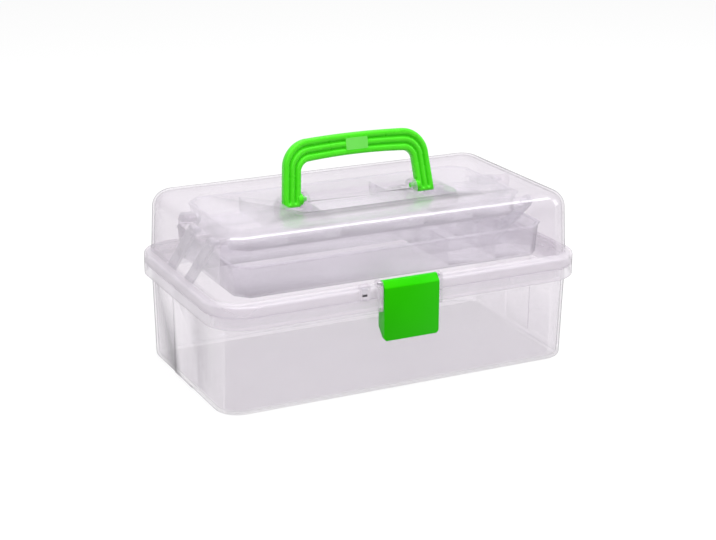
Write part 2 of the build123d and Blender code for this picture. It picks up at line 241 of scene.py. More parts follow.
@dataclass(frozen=True)
class ClearPlastic:
    """Thin see-through plastic, milkier where it is seen edge on and greyed there by painted shade, with a
    frosted band.
    """

    name: str
    tint: Colour
    edge_shade_tint: Colour
    haze: Colour
    face_haze: float
    edge_haze: float
    roughness: float
    shine: float = 0.6
    band: tuple[float, float] = (0.0, 0.0)
    band_haze: float = 0.0
    band_edge: float = 0.5 * MM
    band_fade: float = 2.0 * MM
    grey_range: tuple[float, float] = (0.58, 0.82)
    ripple_scale: float = 90.0
    ripple_depth: float = 0.4 * MM
    cloud_scale: float = 18.0
    cloud_range: tuple[float, float] = (0.88, 1.12)
    smear_scale: float = 40.0
    bend: float = 1.42

    def frosted_band(self, sheet: Sheet) -> bpy.types.NodeSocket:
        """How far a point is inside the frosted band.

        Args:
            sheet: the material's node tree.

        Returns:
            The haze that the band adds at each height.
        """
        split = sheet.add("ShaderNodeSeparateXYZ")
        sheet.link(sheet.object_point, split.inputs[0])
        low, high = self.band
        edge = self.band_edge
        rise = sheet.spread(split.outputs["Z"], 0.0, self.band_haze, low - edge, low + edge)
        fall = sheet.spread(split.outputs["Z"], 1.0, 0.0, high - edge, high + self.band_fade)
        return sheet.maths("MULTIPLY", rise, fall)

    def build(self) -> bpy.types.Material:
        """Make the material.

        Returns:
            A see-through haze under a clear gloss.
        """
        sheet = Sheet(self.name)
        normal = sheet.bump(sheet.noise(self.ripple_scale), 0.06, self.ripple_depth)
        facing = sheet.add("ShaderNodeLayerWeight", Blend=0.3).outputs["Facing"]
        # Painted shade: the see-through tint darkens towards edge_shade_tint where the surface is seen edge
        # on, standing in for dark outlines at the silhouettes.
        edge_shade = sheet.add("ShaderNodeMix")
        edge_shade.data_type = "RGBA"
        edge_shade.inputs[6].default_value = (*self.tint, 1.0)
        edge_shade.inputs[7].default_value = (*self.edge_shade_tint, 1.0)
        sheet.link(sheet.spread(facing, 0.0, 1.0, *self.grey_range), edge_shade.inputs[0])
        through = sheet.add("ShaderNodeBsdfTransparent")
        sheet.link(edge_shade.outputs[2], through.inputs["Color"])
        milk = sheet.add("ShaderNodeBsdfPrincipled", Base_Color=(*self.haze, 1.0), Roughness=0.5,
                         Specular_IOR_Level=0.2)
        sheet.link(normal, milk.inputs["Normal"])
        gloss = sheet.add("ShaderNodeBsdfGlossy", Color=(1.0, 1.0, 1.0, 1.0))
        smooth, rough = self.roughness * 0.8, self.roughness * 1.3
        smear = sheet.spread(sheet.noise(self.smear_scale), smooth, rough, *NOISE_SPAN)
        sheet.link(smear, gloss.inputs["Roughness"])
        sheet.link(normal, gloss.inputs["Normal"])
        share = sheet.spread(facing, self.face_haze, self.edge_haze)
        cloud = sheet.spread(sheet.noise(self.cloud_scale), *self.cloud_range, *NOISE_SPAN)
        misting = sheet.maths("MULTIPLY", share, cloud)
        if self.band_haze > 0:
            misting = sheet.maths("ADD", misting, self.frosted_band(sheet))
        misty = sheet.blend(misting, through.outputs[0], milk.outputs[0])
        fresnel = sheet.add("ShaderNodeFresnel", IOR=self.bend)
        sheet.link(normal, fresnel.inputs["Normal"])
        mirror = sheet.spread(fresnel.outputs[0], 0.0, self.shine)
        return sheet.finish(sheet.blend(mirror, misty, gloss.outputs[0]))


@dataclass(frozen=True)
class GlossPlastic:
    """Opaque moulded plastic with faint flow marks and a fine skin."""

    name: str
    colour: Colour
    shade: Colour
    roughness: float
    gloss: float = 0.3
    gloss_tint: Colour = (1.0, 1.0, 1.0)
    flow_scale: float = 35.0
    smear_scale: float = 70.0
    skin_scale: float = 2600.0
    skin_depth: float = 0.04 * MM

    def build(self) -> bpy.types.Material:
        """Make the material.

        Returns:
            A glossy plastic whose colour and gloss vary a little.
        """
        sheet = Sheet(self.name)
        paint = sheet.add("ShaderNodeMix")
        paint.data_type = "RGBA"
        paint.inputs[6].default_value = (*self.shade, 1.0)
        paint.inputs[7].default_value = (*self.colour, 1.0)
        sheet.link(sheet.spread(sheet.noise(self.flow_scale), 0.0, 1.0, *NOISE_SPAN), paint.inputs[0])
        skin = sheet.bump(sheet.noise(self.skin_scale), 0.08, self.skin_depth)
        plastic = sheet.add("ShaderNodeBsdfPrincipled", Specular_IOR_Level=self.gloss,
                            Specular_Tint=(*self.gloss_tint, 1.0))
        sheet.link(paint.outputs[2], plastic.inputs["Base Color"])
        smooth, rough = self.roughness * 0.85, self.roughness * 1.2
        smear = sheet.spread(sheet.noise(self.smear_scale), smooth, rough, *NOISE_SPAN)
        sheet.link(smear, plastic.inputs["Roughness"])
        sheet.link(skin, plastic.inputs["Normal"])
        return sheet.finish(plastic.outputs[0])


@dataclass(frozen=True)
class DrawnWire:
    """Bright drawn steel with rings of fine draw marks along X."""

    name: str
    colour: Colour
    roughness: float
    marks_along: float = 40.0
    marks_round: float = 2500.0
    marks_depth: float = 0.03 * MM

    def build(self) -> bpy.types.Material:
        """Make the material.

        Returns:
            A brushed metal.
        """
        sheet = Sheet(self.name)
        scale = (self.marks_along, self.marks_round, self.marks_round)
        stretch = sheet.add("ShaderNodeMapping", Scale=scale)
        sheet.link(sheet.object_point, stretch.inputs["Vector"])
        marks = sheet.add("ShaderNodeTexNoise", Scale=1.0, Detail=2.0)
        sheet.link(stretch.outputs[0], marks.inputs["Vector"])
        metal = sheet.add("ShaderNodeBsdfPrincipled", Base_Color=(*self.colour, 1.0), Metallic=1.0)
        sheet.link(sheet.spread(marks.outputs["Fac"], self.roughness * 0.7, self.roughness * 1.3),
                   metal.inputs["Roughness"])
        sheet.link(sheet.bump(marks.outputs["Fac"], 0.15, self.marks_depth), metal.inputs["Normal"])
        return sheet.finish(metal.outputs[0])


@dataclass(frozen=True)
class Finishes:
    """Every finish on the box, made once."""

    tub: bpy.types.Material
    lid: bpy.types.Material
    tray: bpy.types.Material
    natural: bpy.types.Material
    slot_shade: bpy.types.Material
    handle: bpy.types.Material
    latch: bpy.types.Material
    pad: bpy.types.Material
    steel: bpy.types.Material

    @staticmethod
    def make() -> Finishes:
        """Make all the finishes.

        Returns:
            The finishes.
        """
        milk = (0.88, 0.85, 0.89)
        # edge and soft_edge are painted shade: the see-through tint that the shells, arms and trays take on
        # where they are seen edge on.
        edge = (0.09, 0.085, 0.10)
        soft_edge = (0.42, 0.415, 0.44)
        rim = (73.0 * MM, 92.8 * MM)
        return Finishes(
            tub=ClearPlastic("tub_clear_plastic", (0.964, 0.952, 0.966), edge, milk, 0.05, 0.18, 0.14, 0.3,
                             rim, 0.19).build(),
            lid=ClearPlastic("lid_clear_plastic", (0.950, 0.935, 0.952), edge, milk, 0.07, 0.22, 0.21, 0.26,
                             rim, 0.19).build(),
            tray=ClearPlastic("tray_clear_plastic", (0.985, 0.982, 0.990), soft_edge, (0.93, 0.92, 0.95),
                              0.08, 0.26, 0.16, 0.32).build(),
            natural=ClearPlastic("arm_milky_plastic", (0.95, 0.95, 0.96), edge, (0.82, 0.81, 0.85),
                                 0.28, 0.5, 0.22, 0.4).build(),
            # Painted shade: a near-black finish for the block set in the catch's slot, where there is only
            # the opening's shade.
            slot_shade=GlossPlastic("slot_shade_dark", (0.03, 0.028, 0.035), (0.022, 0.02, 0.026), 0.4).build(),
            # The handle and latch are one green plastic. The handle's colour and gloss tint are painted
            # lighter and the latch's darker, standing in for how light falls on each.
            handle=GlossPlastic("handle_green_painted_lighter", (0.062, 0.67, 0.013), (0.052, 0.63, 0.009), 0.28,
                                0.6, (0.5, 1.0, 0.3)).build(),
            latch=GlossPlastic("latch_green_painted_darker", (0.016, 0.52, 0.0003), (0.014, 0.50, 0.0003), 0.34,
                               0.34, (0.3, 1.0, 0.02)).build(),
            pad=GlossPlastic("pad_satin_plastic", (0.14, 0.66, 0.08), (0.125, 0.63, 0.07), 0.55).build(),
            steel=DrawnWire("hinge_wire", (0.62, 0.62, 0.64), 0.3).build(),
        )


# Mesh helpers


def new_piece(name: str, mesh: bpy.types.Mesh, material: bpy.types.Material) -> bpy.types.Object:
    """Put a mesh in the scene at the origin.

    Args:
        name: the piece's name.
        mesh: its mesh, in metres and in place.
        material: its finish.

    Returns:
        The new object.
    """
    piece = bpy.data.objects.new(name, mesh)
    bpy.context.scene.collection.objects.link(piece)
    mesh.materials.clear()
    mesh.materials.append(material)
    return piece


def settle(piece: bpy.types.Object, body: Body, replaced: Sequence[str] = ()) -> None:
    """Set a finished piece on its body and report it.

    Args:
        piece: the finished piece.
        body: the body that carries it.
        replaced: the CAD nodes that it stands for.
    """
    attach(piece, body.value)
    if replaced:
        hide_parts(*replaced)
    LOG.info("%s rides on %s with %d faces", piece.name, body.value, len(piece.data.polygons))


def smooth_by_angle(mesh: bpy.types.Mesh, degrees: float) -> None:
    """Shade smooth, with hard edges at sharp turns.

    Args:
        mesh: the mesh to shade.
        degrees: the least turn between two faces that stays a hard edge.
    """
    mesh.shade_smooth()
    mesh.set_sharp_from_angle(angle=math.radians(degrees))


def baked(piece: bpy.types.Object) -> bpy.types.Object:
    """Turn a piece's modifiers into plain mesh.

    Args:
        piece: an object with modifiers.

    Returns:
        The same object, with the evaluated mesh and no modifiers.
    """
    graph = bpy.context.evaluated_depsgraph_get()
    mesh = bpy.data.meshes.new_from_object(piece.evaluated_get(graph), depsgraph=graph)
    piece.modifiers.clear()
    piece.data = mesh
    return piece


def refined(node: str, name: str, material: bpy.types.Material, edge: float) -> bpy.types.Object:
    """Copy a CAD node, merge its triangles and soften its edges.

    Args:
        node: the CAD node's name.
        name: the new piece's name.
        material: its finish.
        edge: width of the softened edge in metres.

    Returns:
        The new piece.
    """
    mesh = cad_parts[node].data.copy()
    work = bmesh.new()
    work.from_mesh(mesh)
    bmesh.ops.remove_doubles(work, verts=work.verts, dist=WELD)
    bmesh.ops.dissolve_degenerate(work, edges=work.edges, dist=WELD)
    bmesh.ops.dissolve_limit(work, angle_limit=math.radians(FLAT_TURN), verts=work.verts, edges=work.edges)
    work.to_mesh(mesh)
    work.free()
    mesh.name = name
    piece = new_piece(name, mesh, material)
    if edge > 0:
        bevel = piece.modifiers.new("soft_edge", "BEVEL")
        bevel.width = edge
        bevel.segments = 2
        bevel.limit_method = "ANGLE"
        bevel.angle_limit = math.radians(BEVEL_TURN)
        bevel.use_clamp_overlap = True
        baked(piece)
    smooth_by_angle(piece.data, HARD_TURN)
    return piece


def grid_mesh(name: str, rings: Sequence[Sequence[Vector]], closed_path: bool) -> bpy.types.Mesh:
    """Join rings of points into a closed surface.

    Args:
        name: the mesh's name.
        rings: loops of the same length, in order along a path.
        closed_path: True where the last ring joins the first.

    Returns:
        The mesh, with capped ends on an open path.
    """
    work = bmesh.new()
    made = [[work.verts.new(point) for point in ring] for ring in rings]
    pairs = list(zip(made, made[1:]))
    if closed_path:
        pairs.append((made[-1], made[0]))
    for first, second in pairs:
        for i in range(len(first)):
            j = (i + 1) % len(first)
            work.faces.new((first[i], first[j], second[j], second[i]))
    if not closed_path:
        work.faces.new(list(reversed(made[0])))
        work.faces.new(made[-1])
    bmesh.ops.recalc_face_normals(work, faces=work.faces)
    mesh = bpy.data.meshes.new(name)
    work.to_mesh(mesh)
    work.free()
    return mesh


def turned(name: str, y: float, z: float, profile: Sequence[tuple[float, float]],
           steps: int = 40) -> bpy.types.Mesh:
    """A turned shape about an axis along X.

    Args:
        name: the mesh's name.
        y: depth of the axis.
        z: height of the axis.
        profile: pairs of place along X and radius.
        steps: faces round the axis.

    Returns:
        The closed mesh.
    """
    rings = []
    for x, radius in profile:
        turns = [2 * math.pi * k / steps for k in range(steps)]
        rings.append([Vector((x, y + radius * math.cos(a), z + radius * math.sin(a))) for a in turns])
    return grid_mesh(name, rings, False)


def joined(name: str, meshes: Sequence[bpy.types.Mesh]) -> bpy.types.Mesh:
    """Join several meshes into one.

    Args:
        name: the new mesh's name.
        meshes: the meshes to join, which are removed.

    Returns:
        The joined mesh.
    """
    work = bmesh.new()
    for mesh in meshes:
        work.from_mesh(mesh)
        bpy.data.meshes.remove(mesh)
    result = bpy.data.meshes.new(name)
    work.to_mesh(result)
    work.free()
    return result


# Geometry Nodes


class Maker:
    """A Geometry Nodes tree with named inputs that ends in plain geometry."""

    def __init__(self, name: str) -> None:
        """Start the tree with a geometry input and output.

        Args:
            name: the tree's name.
        """
        self.tree = bpy.data.node_groups.new(name, "GeometryNodeTree")
        self.tree.interface.new_socket("Geometry", in_out="INPUT", socket_type="NodeSocketGeometry")
        self.tree.interface.new_socket("Geometry", in_out="OUTPUT", socket_type="NodeSocketGeometry")
        self.start = self.tree.nodes.new("NodeGroupInput")
        self.end = self.tree.nodes.new("NodeGroupOutput")
        self.inputs: dict[str, str] = {}

    def size(self, name: str, value: float) -> bpy.types.NodeSocket:
        """A named size input.

        Args:
            name: the input's name.
            value: its value in metres, or a plain number.

        Returns:
            The socket that gives it inside the tree.
        """
        item = self.tree.interface.new_socket(name, in_out="INPUT", socket_type="NodeSocketFloat")
        item.default_value = value
        self.inputs[name] = item.identifier
        return self.start.outputs[name]

    def add(self, kind: str, **values: object) -> bpy.types.Node:
        """Add a node and set its input sockets.

        Args:
            kind: the node's Blender type.
            values: socket names, with _ for a space, and their values or source sockets.

        Returns:
            The new node.
        """
        node = self.tree.nodes.new(kind)
        for key, value in values.items():
            target = node.inputs[key.replace("_", " ")]
            if isinstance(value, bpy.types.NodeSocket):
                self.tree.links.new(value, target)
            else:
                target.default_value = value
        return node

    def maths(self, operation: str, first: object, second: object = 0.0) -> bpy.types.NodeSocket:
        """One value worked out from two.

        Args:
            operation: the Math node's operation.
            first: a value or socket.
            second: a value or socket.

        Returns:
            The result socket.
        """
        node = self.tree.nodes.new("ShaderNodeMath")
        node.operation = operation
        for target, value in zip(node.inputs, (first, second)):
            if isinstance(value, bpy.types.NodeSocket):
                self.tree.links.new(value, target)
            else:
                target.default_value = value
        return node.outputs[0]

    def close(self, geometry: bpy.types.NodeSocket, material: bpy.types.Material) -> None:
        """End the tree in Realize Instances and Set Material.

        Args:
            geometry: the last geometry socket.
            material: the finish.
        """
        real = self.add("GeometryNodeRealizeInstances", Geometry=geometry)
        dressed = self.add("GeometryNodeSetMaterial", Geometry=real.outputs[0], Material=material)
        self.tree.links.new(dressed.outputs[0], self.end.inputs[0])

    def run(self, name: str, mesh: bpy.types.Mesh, material: bpy.types.Material,
            sizes: dict[str, float]) -> bpy.types.Object:
        """Run the tree on a mesh and keep plain geometry.

        Args:
            name: the new piece's name.
            mesh: the mesh of points or path that the tree reads.
            material: the finish.
            sizes: values of the named inputs.

        Returns:
            The new piece, without modifiers.
        """
        piece = new_piece(name, mesh, material)
        modifier = piece.modifiers.new("maker", "NODES")
        modifier.node_group = self.tree
        for key, value in sizes.items():
            modifier[self.inputs[key]] = value
        baked(piece)
        work = bmesh.new()
        work.from_mesh(piece.data)
        bmesh.ops.remove_doubles(work, verts=work.verts, dist=FINE_WELD)
        bmesh.ops.recalc_face_normals(work, faces=work.faces)
        work.to_mesh(piece.data)
        work.free()
        piece.data.name = name
        smooth_by_angle(piece.data, MADE_HARD_TURN)
        return piece


def points_mesh(name: str, points: Sequence[Vector], turns: Sequence[float] = ()) -> bpy.types.Mesh:
    """A mesh of loose points.

    Args:
        name: the mesh's name.
        points: where the points are.
        turns: the turn about Z that each point's copy gets, in radians.

    Returns:
        The mesh, with a turn attribute where turns are given.
    """
    mesh = bpy.data.meshes.new(name)
    mesh.from_pydata([tuple(p) for p in points], [], [])
    if turns:
        mesh.attributes.new("turn", "FLOAT", "POINT").data.foreach_set("value", list(turns))
    return mesh


def loop_mesh(name: str, points: Sequence[Vector]) -> bpy.types.Mesh:
    """A closed loop of edges.

    Args:
        name: the mesh's name.
        points: the points that the loop goes through, in order.

    Returns:
        The mesh of edges.
    """
    mesh = bpy.data.meshes.new(name)
    count = len(points)
    mesh.from_pydata([tuple(p) for p in points], [(i, (i + 1) % count) for i in range(count)], [])
    return mesh


# Sub-assemblies


@dataclass
class Shells:
    """The tub and the lid, with the fine ladder of ribs on the catch."""

    finishes: Finishes
    edge: float = 0.45 * MM
    catch_face: float = -97.2 * MM
    catch_middle: float = -42.4 * MM
    rib_long: float = 5.0 * MM
    rib_radius: float = 0.26 * MM
    upper_ribs: tuple[float, float, int] = (90.2 * MM, 0.86 * MM, 6)
    lower_ribs: tuple[float, float, int] = (84.9 * MM, 0.75 * MM, 2)
    lower_share: float = 0.7
    # The dark block in the catch's slot is painted shade, a solid piece standing for the opening's shadow.
    shade_block_half: float = 2.0 * MM
    shade_block_depth: tuple[float, float] = (-95.3 * MM, -96.9 * MM)
    shade_block_rise: tuple[float, float] = (87.15 * MM, 88.65 * MM)
    shade_block_ease: tuple[float, float] = (0.2 * MM, 0.15 * MM)

    def ribs_tree(self) -> Maker:
        """The tree that repeats a round rib up from each point.

        Returns:
            The finished tree.
        """
        maker = Maker("catch_ribs")
        radius = maker.size("Rib radius", self.rib_radius)
        length = maker.size("Rib length", self.rib_long)
        pitch = maker.size("Rib pitch", self.upper_ribs[1])
        count = maker.size("Rib count", float(self.upper_ribs[2]))
        step = maker.add("ShaderNodeCombineXYZ", Z=pitch)
        ladder = maker.add("GeometryNodeMeshLine", Count=count, Offset=step.outputs[0])
        places = maker.add("GeometryNodeInstanceOnPoints", Points=maker.start.outputs[0],
                           Instance=ladder.outputs[0])
        real = maker.add("GeometryNodeRealizeInstances", Geometry=places.outputs[0])
        bar = maker.add("GeometryNodeMeshCylinder", Vertices=12, Radius=radius, Depth=length)
        laid = maker.add("GeometryNodeTransform", Geometry=bar.outputs[0], Rotation=(0.0, math.pi / 2, 0.0))
        ribs = maker.add("GeometryNodeInstanceOnPoints", Points=real.outputs[0], Instance=laid.outputs[0])
        maker.close(ribs.outputs[0], self.finishes.natural)
        return maker

    def catch_ribs(self) -> None:
        """Put the ladders above and below the catch's slot."""
        tree = self.ribs_tree()
        ladders = (
            ("catch_ribs_upper", self.upper_ribs, 1.0),
            ("catch_ribs_lower", self.lower_ribs, self.lower_share),
        )
        for name, (low, pitch, count), share in ladders:
            start = points_mesh(name, [Vector((self.catch_middle, self.catch_face, low))])
            sizes = {
                "Rib radius": self.rib_radius,
                "Rib length": self.rib_long * share,
                "Rib pitch": pitch,
                "Rib count": float(count),
            }
            settle(tree.run(name, start, self.finishes.natural, sizes), Body.LID)

    def catch_slot_shade(self) -> None:
        """Put a dark block in the catch's slot as painted shade for the opening."""
        y0, y1 = self.shade_block_depth
        along, pinch = self.shade_block_ease
        rings = []
        for x, ease in (
            (-self.shade_block_half, pinch),
            (-self.shade_block_half + along, 0.0),
            (self.shade_block_half - along, 0.0),
            (self.shade_block_half, pinch),
        ):
            z0, z1 = self.shade_block_rise[0] + ease, self.shade_block_rise[1] - ease
            corners = ((y0, z0), (y1, z0), (y1, z1), (y0, z1))
            rings.append([Vector((self.catch_middle + x, y, z)) for y, z in corners])
        shade_block = new_piece("catch_slot_shade", grid_mesh("catch_slot_shade", rings, False), self.finishes.slot_shade)
        settle(shade_block, Body.LID)

    def build(self) -> None:
        """Build both shells from their nodes with softened edges."""
        tub = refined("base_tub", "tub_shell", self.finishes.tub, self.edge)
        settle(tub, Body.BASE, ["base_tub"])
        lid = refined("lid", "lid_shell", self.finishes.lid, self.edge)
        settle(lid, Body.LID, ["lid"])
        self.catch_ribs()
        self.catch_slot_shade()


@dataclass
class Trays:
    """The two compartment trays with the rolled bead on their rims."""

    finishes: Finishes
    edge: float = 0.3 * MM
    bead_radius: float = 1.0 * MM
    bead_inset: float = 1.05 * MM
    bead_drop: float = 0.65 * MM
    bead_bend: float = 4.0 * MM
    bend_steps: int = 5
    corner_cut: float = 12.0 * MM
    lower_half: float = 140.0 * MM
    upper_half: float = 132.0 * MM

    def bead_tree(self) -> Maker:
        """The tree that rolls a bead along a closed path.

        Returns:
            The finished tree.
        """
        maker = Maker("rim_bead")
        radius = maker.size("Bead radius", self.bead_radius)
        bend = maker.size("Corner radius", self.bead_bend)
        path = maker.add("GeometryNodeMeshToCurve", Mesh=maker.start.outputs[0])
        eased = maker.add("GeometryNodeFilletCurve", Curve=path.outputs[0], Radius=bend)
        eased.mode = "POLY"
        eased.inputs["Count"].default_value = self.bend_steps
        ring = maker.add("GeometryNodeCurvePrimitiveCircle", Resolution=12, Radius=radius)
        bead = maker.add("GeometryNodeCurveToMesh", Curve=eased.outputs[0], Profile_Curve=ring.outputs[0])
        maker.close(bead.outputs[0], self.finishes.tray)
        return maker

    def rim_path(self, node: str, half: float) -> list[Vector]:
        """The eight corners of a tray's rim, inset to the bead's middle.

        Args:
            node: the tray's CAD node.
            half: half the length of its rim.

        Returns:
            The corners in order.
        """
        low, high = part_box(node)
        tray_x = half - self.bead_inset
        front, back = low[1] + self.bead_inset, high[1] - self.bead_inset
        z = high[2] - self.bead_drop
        cut = self.corner_cut - self.bead_inset * 0.6
        right = [(tray_x - cut, front), (tray_x, front + cut), (tray_x, back - cut), (tray_x - cut, back)]
        left = [(-x, y) for x, y in reversed(right)]
        return [Vector((x, y, z)) for x, y in right + left]

    def build(self) -> None:
        """Build both trays and their beads."""
        tree = self.bead_tree()
        sizes = {"Bead radius": self.bead_radius, "Corner radius": self.bead_bend}
        for body, half in ((Body.LOWER_TRAY, self.lower_half), (Body.UPPER_TRAY, self.upper_half)):
            node = body.value
            settle(refined(node, f"{node}_shell", self.finishes.tray, self.edge), body, [node])
            name = f"{node}_rim_bead"
            path = loop_mesh(name, self.rim_path(node, half))
            settle(tree.run(name, path, self.finishes.tray, sizes), body)


@dataclass
class Handle:
    """The bail handle: three ribs on each face, a bare pad at the middle and side pins."""

    finishes: Finishes
    pivot_height: float = 142.7 * MM
    foot_below: float = 6.0 * MM
    half_width: float = 69.6 * MM
    lean: float = 0.099
    leg: float = 15.4 * MM
    bar: float = 18.0 * MM
    height: float = 55.8 * MM
    crown: float = 2.4 * MM
    corner: float = 20.0 * MM
    thick: float = 8.0 * MM
    groove: float = 1.5 * MM
    rib_sag: float = 0.8 * MM
    tilt: float = math.radians(10.7)
    pad_half: float = 9.9 * MM
    pad_step: float = 0.7 * MM
    boss_radius: float = 5.0 * MM
    pin_radius: float = 2.4 * MM
    boss_end: float = 51.9 * MM
    pin_end: float = 48.1 * MM
    panel: tuple[float, float] = (4.2 * MM, 14.0 * MM)
    proud: float = 0.12 * MM
    sunk: float = 0.4 * MM
    panel_ease: float = 0.8 * MM
    panel_steps: int = 20
    panel_bow: float = 64.6 * MM
    shoulder: float = 1.0 * MM
    least_corner: float = 6.0 * MM
    edge_share: float = 0.16
    edge_round: float = 2.3 * MM
    foot_round: float = 2.2 * MM
    foot_thin: float = 0.45
    rib_start: tuple[float, float] = (2.6 * MM, 1.4 * MM)
    turned_ease: float = 0.5 * MM
    overlap: tuple[float, float] = (2.0 * MM, 1.0 * MM)
    around: int = 72
    leg_steps: int = 22
    corner_steps: int = 18
    bar_steps: int = 16

    def arch(self, inset_x: float, inset_z: float) -> list[Vector]:
        """The arch at an inset from its outer edge, in the handle's own upright plane.

        Args:
            inset_x: inset of the legs.
            inset_z: inset of the bar's top.

        Returns:
            Points from the left foot to the right foot.
        """
        top = self.height - inset_z
        radius = max(self.corner - inset_x * 0.85, self.least_corner)
        foot = self.half_width - inset_x
        across = foot - self.lean * (top - self.crown)
        leg_way = Vector((-self.lean, 0, 1)).normalized()
        corner = Vector((across, 0, top - self.crown))
        start = corner - leg_way * radius
        end_x = across - radius

        def crown_at(x: float) -> Vector:
            """A point on the crowned top.

            Args:
                x: its place across the handle.

            Returns:
                The point.
            """
            return Vector((x, 0, top - self.crown * (x / across) ** 2))

        end = crown_at(end_x)
        slope = Vector((-1, 0, 2 * self.crown * end_x / across ** 2)).normalized()
        pull = 0.5523 * radius
        right = []
        for i in range(self.leg_steps):
            right.append(Vector((foot, 0, 0)).lerp(start, (i / self.leg_steps) ** 1.3))
        a, b, c, d = start, start + leg_way * pull, end - slope * pull, end
        for i in range(self.corner_steps):
            t = i / self.corner_steps
            right.append(a * (1 - t) ** 3 + b * 3 * t * (1 - t) ** 2 + c * 3 * t * t * (1 - t) + d * t ** 3)
        pad = self.pad_half
        bar = self.bar_steps
        places = [end_x + (pad + 2 * self.pad_step - end_x) * i / bar for i in range(bar)]
        places += [pad + 2 * self.pad_step, pad + self.pad_step, pad, pad * 0.5]
        right += [crown_at(x) for x in places]
        left = [Vector((-p.x, 0, p.z)) for p in right]
        return left + [crown_at(0)] + list(reversed(right))

    def half_depth(self, share: float, ribbed: float) -> float:
        """Half the thickness at a place across the width.

        Args:
            share: 0 at the outer edge and 1 at the inner edge.
            ribbed: 1 with grooves between the ribs and 0 on the bare pad.

        Returns:
            The half thickness in metres.
        """
        rim = self.edge_share
        away = min(share, 1 - share) / rim
        rounding = self.edge_round * (1 - math.sqrt(max(0.0, 1 - (1 - min(away, 1.0)) ** 2)))
        wave = abs(math.cos(3 * math.pi * share))
        dip = (self.rib_sag * wave ** 2 + self.groove * wave ** 9) * ribbed
        if share < rim or share > 1 - rim:
            dip = 0.0
        return self.thick / 2 - max(rounding, dip)

    def stand(self, mesh: bpy.types.Mesh) -> bpy.types.Mesh:
        """Lean a mesh from the handle's upright plane to where it stands on the lid.

        Args:
            mesh: the mesh to move.

        Returns:
            The same mesh, in place.
        """
        place = Matrix.Translation((0, 0, self.pivot_height))
        turn = Matrix.Rotation(-self.tilt, 4, "X")
        mesh.transform(place @ turn @ Matrix.Translation((0, 0, -self.foot_below)))
        return mesh

    def pads(self) -> bpy.types.Mesh:
        """The bare satin panels at the middle of both faces.

        Returns:
            Two thin closed plates, a hair proud of the bar.
        """
        low, high = self.panel
        ease = self.panel_ease
        plates = []
        for side in (-1, 1):
            rings = []
            for i in range(self.panel_steps + 1):
                x = self.pad_half * (2 * i / self.panel_steps - 1)
                top = self.height - self.crown * (x / self.panel_bow) ** 2
                pinch = ease * max(0.0, (abs(x) - self.pad_half + ease) / ease) ** 2
                z0, z1 = top - low - pinch, top - high + pinch
                y0, y1 = side * (self.thick / 2 - self.sunk), side * (self.thick / 2 + self.proud)
                rings.append([Vector((x, y, z)) for y, z in ((y0, z0), (y1, z0), (y1, z1), (y0, z1))])
            plates.append(grid_mesh("plate", rings, False))
        return joined("handle_pads", plates)

    def bail(self) -> bpy.types.Mesh:
        """The ribbed arch, with rounded feet.

        Returns:
            The closed mesh in the upright plane.
        """
        steps = [i / (self.around - 1) for i in range(self.around)]
        across = [0.35 * (0.5 - 0.5 * math.cos(math.pi * step)) + 0.65 * step for step in steps]
        lines = [self.arch(self.leg * share, self.bar * share) for share in across]
        shoulder = self.height - self.crown - self.shoulder
        clear, fade = self.rib_start
        rings = []
        for k, point in enumerate(lines[0]):
            off_pad = min(max((abs(point.x) - self.pad_half) / self.pad_step, 0.0), 1.0)
            foot_way = min(point.z, lines[-1][k].z)
            ribbed = off_pad if point.z > shoulder else 1.0
            ribbed *= min(max((foot_way - clear) / fade, 0.0), 1.0)
            swell = math.sqrt(max(0.0, 1 - (1 - min(foot_way / self.foot_round, 1.0)) ** 2))
            swell = self.foot_thin + (1 - self.foot_thin) * swell
            depths = [self.half_depth(share, ribbed) * swell for share in across]
            front = [Vector((line[k].x, -depth, line[k].z)) for line, depth in zip(lines, depths)]
            back = [Vector((line[k].x, depth, line[k].z)) for line, depth in zip(lines, depths)]
            rings.append(front + list(reversed(back)))
        return grid_mesh("arch", rings, False)

    def pivots(self) -> list[bpy.types.Mesh]:
        """The boss and the pin inside each foot.

        Returns:
            Four turned meshes in the upright plane.
        """
        inner = self.half_width - self.leg + self.overlap[0]
        soft = self.turned_ease
        meshes = []
        for side in Side:
            s = side.value
            boss = [
                (s * self.boss_end, self.boss_radius - soft),
                (s * (self.boss_end + soft), self.boss_radius),
                (s * inner, self.boss_radius),
            ]
            pin = [
                (s * self.pin_end, self.pin_radius - soft),
                (s * (self.pin_end + soft), self.pin_radius),
                (s * (self.boss_end + self.overlap[1]), self.pin_radius),
            ]
            meshes += [turned("boss", 0, self.foot_below, boss), turned("pin", 0, self.foot_below, pin)]
        return meshes

    def build(self) -> None:
        """Build the handle's bail and its pads."""
        bail = self.stand(joined("handle_bail", [self.bail()] + self.pivots()))
        smooth_by_angle(bail, BAIL_HARD_TURN)
        settle(new_piece("handle_bail", bail, self.finishes.handle), Body.HANDLE, ["handle"])
        settle(new_piece("handle_pads", self.stand(self.pads()), self.finishes.pad), Body.HANDLE)


@dataclass
class Latch:
    """The latch plate on its rod."""

    finishes: Finishes
    edge: float = 0.9 * MM

    def build(self) -> None:
        """Build the latch plate with soft edges."""
        plate = refined("latch", "latch_plate", self.finishes.latch, self.edge)
        settle(plate, Body.LATCH, ["latch"])


